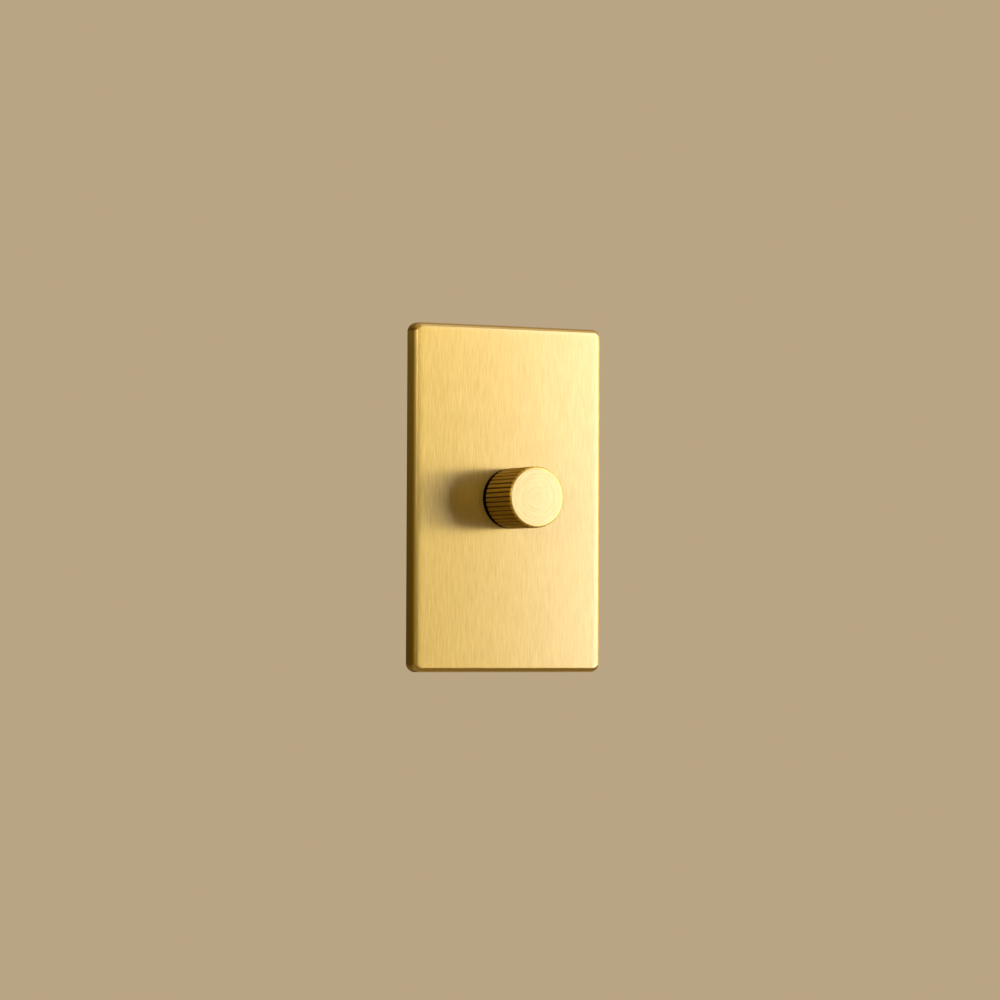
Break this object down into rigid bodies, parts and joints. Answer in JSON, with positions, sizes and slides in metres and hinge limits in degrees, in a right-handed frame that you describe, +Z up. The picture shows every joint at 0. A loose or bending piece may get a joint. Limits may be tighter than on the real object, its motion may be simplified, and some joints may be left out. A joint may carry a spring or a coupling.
{
  "type": "dimmer switch",
  "caption": "Wall dimmer with a clip-fit cover plate in brushed brass and a fluted brass knob that turns to set the light and pushes to switch it.",
  "frame": {"origin": "centre of the cover plate's back rim, on the wall plane", "axes": "+Z up the wall, +Y into the wall, +X to the right seen from the front"},
  "size_m": [0.0698, 0.0536, 0.1142],
  "materials": {
    "brushed_brass": "satin brushed",
    "plain_brass": "plain",
    "copper_enamel": "enamelled",
    "zinc_steel": "zinc plated",
    "spring_steel": "plain",
    "mill_aluminium": "mill finish",
    "green_steel": "dyed",
    "carrier_nylon": "moulded",
    "housing_nylon": "moulded",
    "control_nylon": "moulded",
    "fibre": "pressed",
    "phenolic": "pressed",
    "board_laminate": "laminated",
    "core_iron": "pressed powder",
    "capacitor_case": "moulded",
    "package_resin": "moulded",
    "pad_silicone": "sheet",
    "resistor_coat": "dipped",
    "diac_glass": "sealed"
  },
  "bodies": {
    "case": {"cover_plate": "brushed_brass", "plate_carrier": "carrier_nylon", "carrier_screws": "zinc_steel", "bushing": "zinc_steel", "bush_washer": "zinc_steel", "bush_nut": "zinc_steel", "mounting_strap": "mill_aluminium", "box_screws": "zinc_steel", "screw_retainers": "fibre", "ground_screw": "green_steel", "rear_housing": "housing_nylon", "housing_rivets": "mill_aluminium", "terminal_screws": "plain_brass", "terminal_plates": "plain_brass", "pot_case": "control_nylon", "track_wafer": "phenolic", "pot_lugs": "zinc_steel", "switch_case": "control_nylon", "return_spring": "spring_steel", "fixed_contacts": "plain_brass", "circuit_board": "board_laminate", "choke_core": "core_iron", "choke_winding": "copper_enamel", "film_capacitor": "capacitor_case", "triac": "package_resin", "triac_pad": "pad_silicone", "triac_rivet": "mill_aluminium", "resistors": "resistor_coat", "diac": "diac_glass", "timing_capacitor": "capacitor_case"},
    "plunger": {"switch_plunger": "carrier_nylon", "contact_bridge": "plain_brass"},
    "spindle": {"knob": "brushed_brass", "knob_insert": "control_nylon", "shaft": "zinc_steel"},
    "rotor": {"pot_rotor": "carrier_nylon", "wiper_contact": "plain_brass"}
  },
  "joints": [
    {"name": "knob_push", "type": "slide", "parent": "case", "child": "plunger", "axis": [0, 1, 0], "range_m": [0, 0.0015], "stiffness_N_per_m": 1200, "springref_m": -0.0025, "deforming": ["return_spring"]},
    {"name": "knob_turn", "type": "hinge", "parent": "plunger", "child": "spindle", "pos_m": [0, 0, 0], "axis": [0, 1, 0], "range_deg": [-135, 135]},
    {"name": "rotor_turn", "type": "hinge", "parent": "case", "child": "rotor", "pos_m": [0, 0, 0], "axis": [0, 1, 0], "range_deg": [-135, 135]}
  ],
  "couplings": [
    {"joint": "rotor_turn", "follows": "knob_turn", "ratio": 1}
  ]
}
